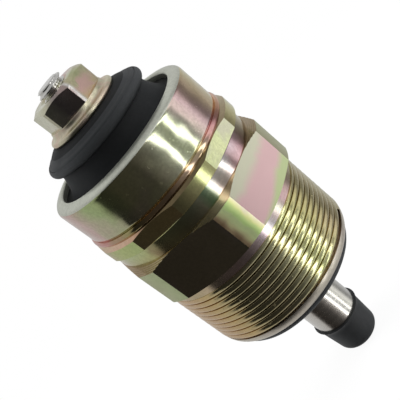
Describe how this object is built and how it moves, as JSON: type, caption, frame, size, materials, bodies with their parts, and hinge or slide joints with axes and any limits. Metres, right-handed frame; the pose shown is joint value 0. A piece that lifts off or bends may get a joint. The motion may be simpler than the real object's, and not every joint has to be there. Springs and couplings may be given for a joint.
{
  "type": "fuel shutoff solenoid",
  "caption": "Screw-in electric fuel shutoff solenoid: plated threaded hexagon housing, stud terminal in a rubber grommet and a sprung plunger with a rubber sealing tip.",
  "frame": {"origin": "on the axis, at the upper end of the outside thread", "axes": "+Z along the axis towards the terminal stud, -Z towards the plunger; two of the hexagon's flats face +Y and -Y"},
  "size_m": [0.026, 0.024, 0.0573],
  "materials": {
    "yellow_zinc": "yellow zinc plated, iridescent, turned",
    "nut_zinc": "yellow zinc plated, satin",
    "bright_steel": "bright turned steel",
    "inner_steel": "plain steel",
    "black_rubber": "matte black rubber",
    "dark_moulding": "dark moulded plastic",
    "brass": "plain brass",
    "copper": "enamelled copper wire",
    "tape": "woven insulating tape"
  },
  "bodies": {
    "solenoid_body": {"housing": "yellow_zinc", "nose_o_ring": "black_rubber", "rubber_grommet": "black_rubber", "cover_disc": "dark_moulding", "spacer_ring": "inner_steel", "terminal_stud": "bright_steel", "contact_washer": "brass", "flange_nut": "nut_zinc", "fixed_core": "inner_steel", "core_seal_ring": "black_rubber", "guide_tube": "brass", "foot_ring": "black_rubber", "coil_bobbin": "dark_moulding", "coil_winding": "copper", "winding_tape": "tape", "cone_washer": "inner_steel", "live_wire": "copper", "earth_wire": "copper", "pole_shim": "brass", "return_spring": "inner_steel"},
    "plunger_body": {"plunger": "bright_steel", "plunger_tip": "black_rubber"}
  },
  "joints": [
    {"name": "plunger_slide", "type": "slide", "parent": "solenoid_body", "child": "plunger_body", "axis": [0, 0, 1], "range_m": [0, 0.003], "stiffness_N_per_m": 300, "springref_m": -0.02, "deforming": ["return_spring"]}
  ]
}
